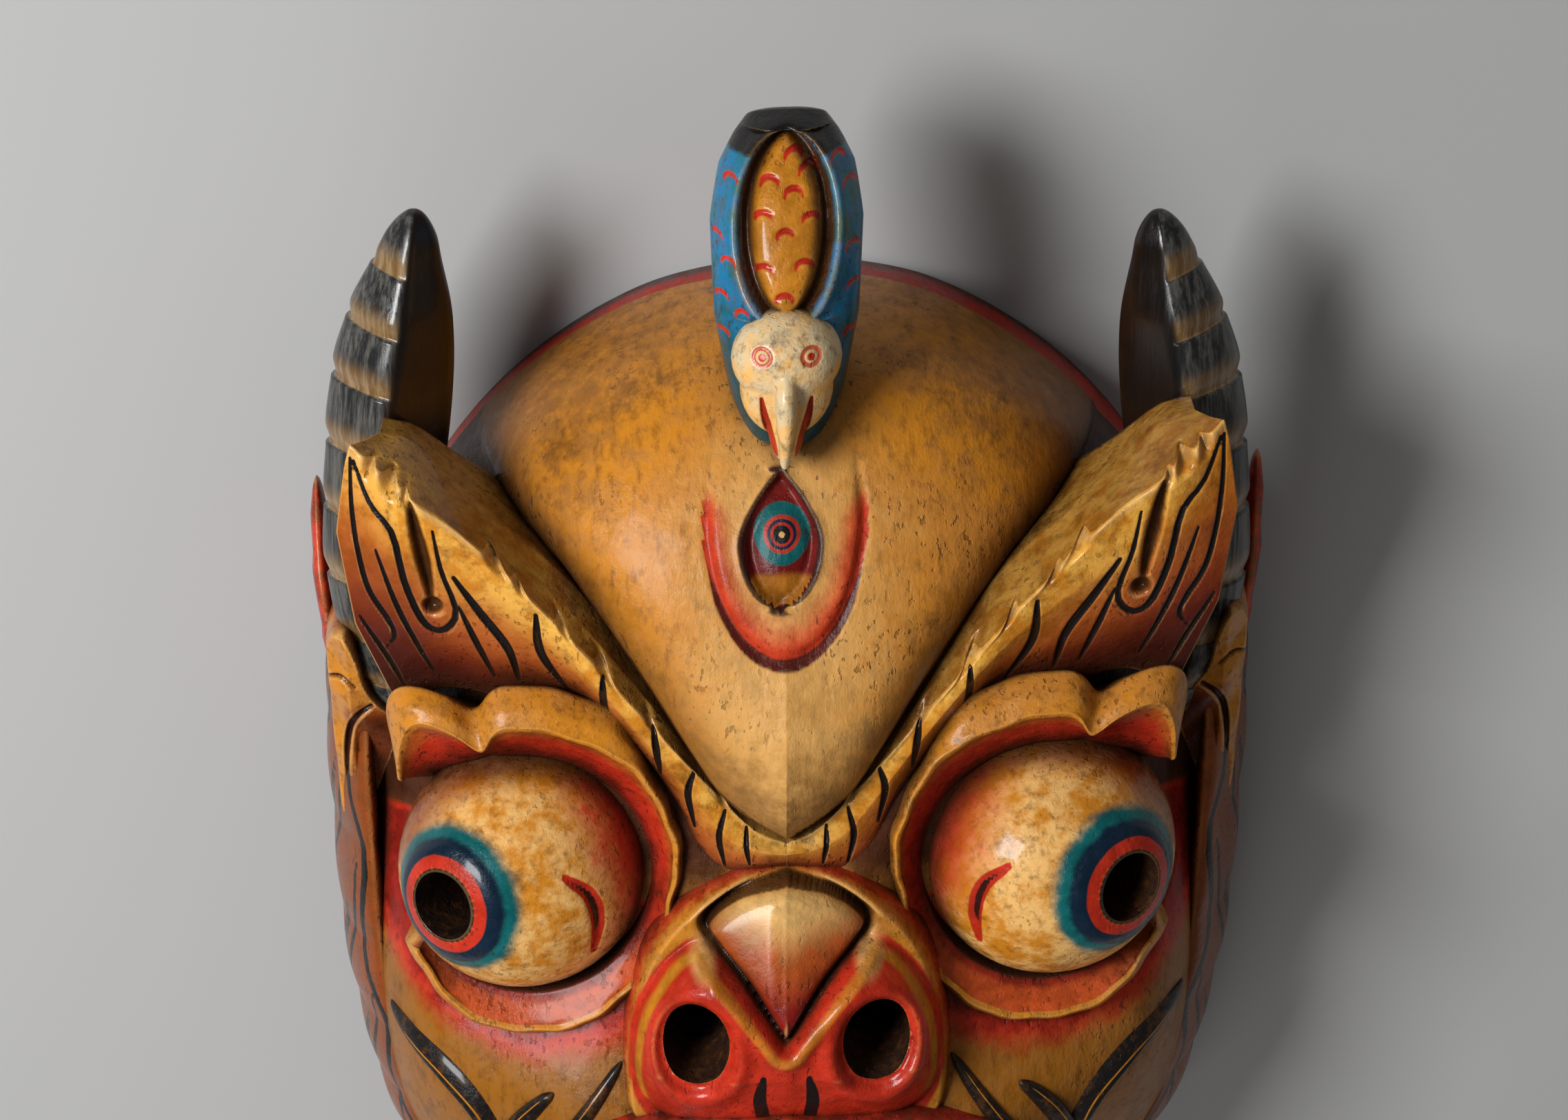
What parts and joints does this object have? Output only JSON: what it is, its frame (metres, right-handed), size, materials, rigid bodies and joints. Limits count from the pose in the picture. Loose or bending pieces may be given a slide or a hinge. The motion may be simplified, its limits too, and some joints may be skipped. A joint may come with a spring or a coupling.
{
  "type": "wrathful deity mask",
  "caption": "Carved and painted wooden wrathful deity mask with a third eye, flame brows, set-in horns and a bird diving down the crown.",
  "frame": {"origin": "bottom centre of the whole part as it lies on its back, on the plane of the flat back rim", "axes": "+Z out of the face, +Y towards the crown, +X to the right of someone who looks at the face"},
  "size_m": [0.3264, 0.4377, 0.1525],
  "materials": {
    "painted_wood": "carved wood painted in ochre gold, vermilion, teal and black under an old gloss varnish",
    "polished_horn": "polished black-brown horn with stepped rings"
  },
  "bodies": {
    "root": {"mask": "painted_wood", "horn_left": "polished_horn", "horn_right": "polished_horn"}
  },
  "joints": []
}
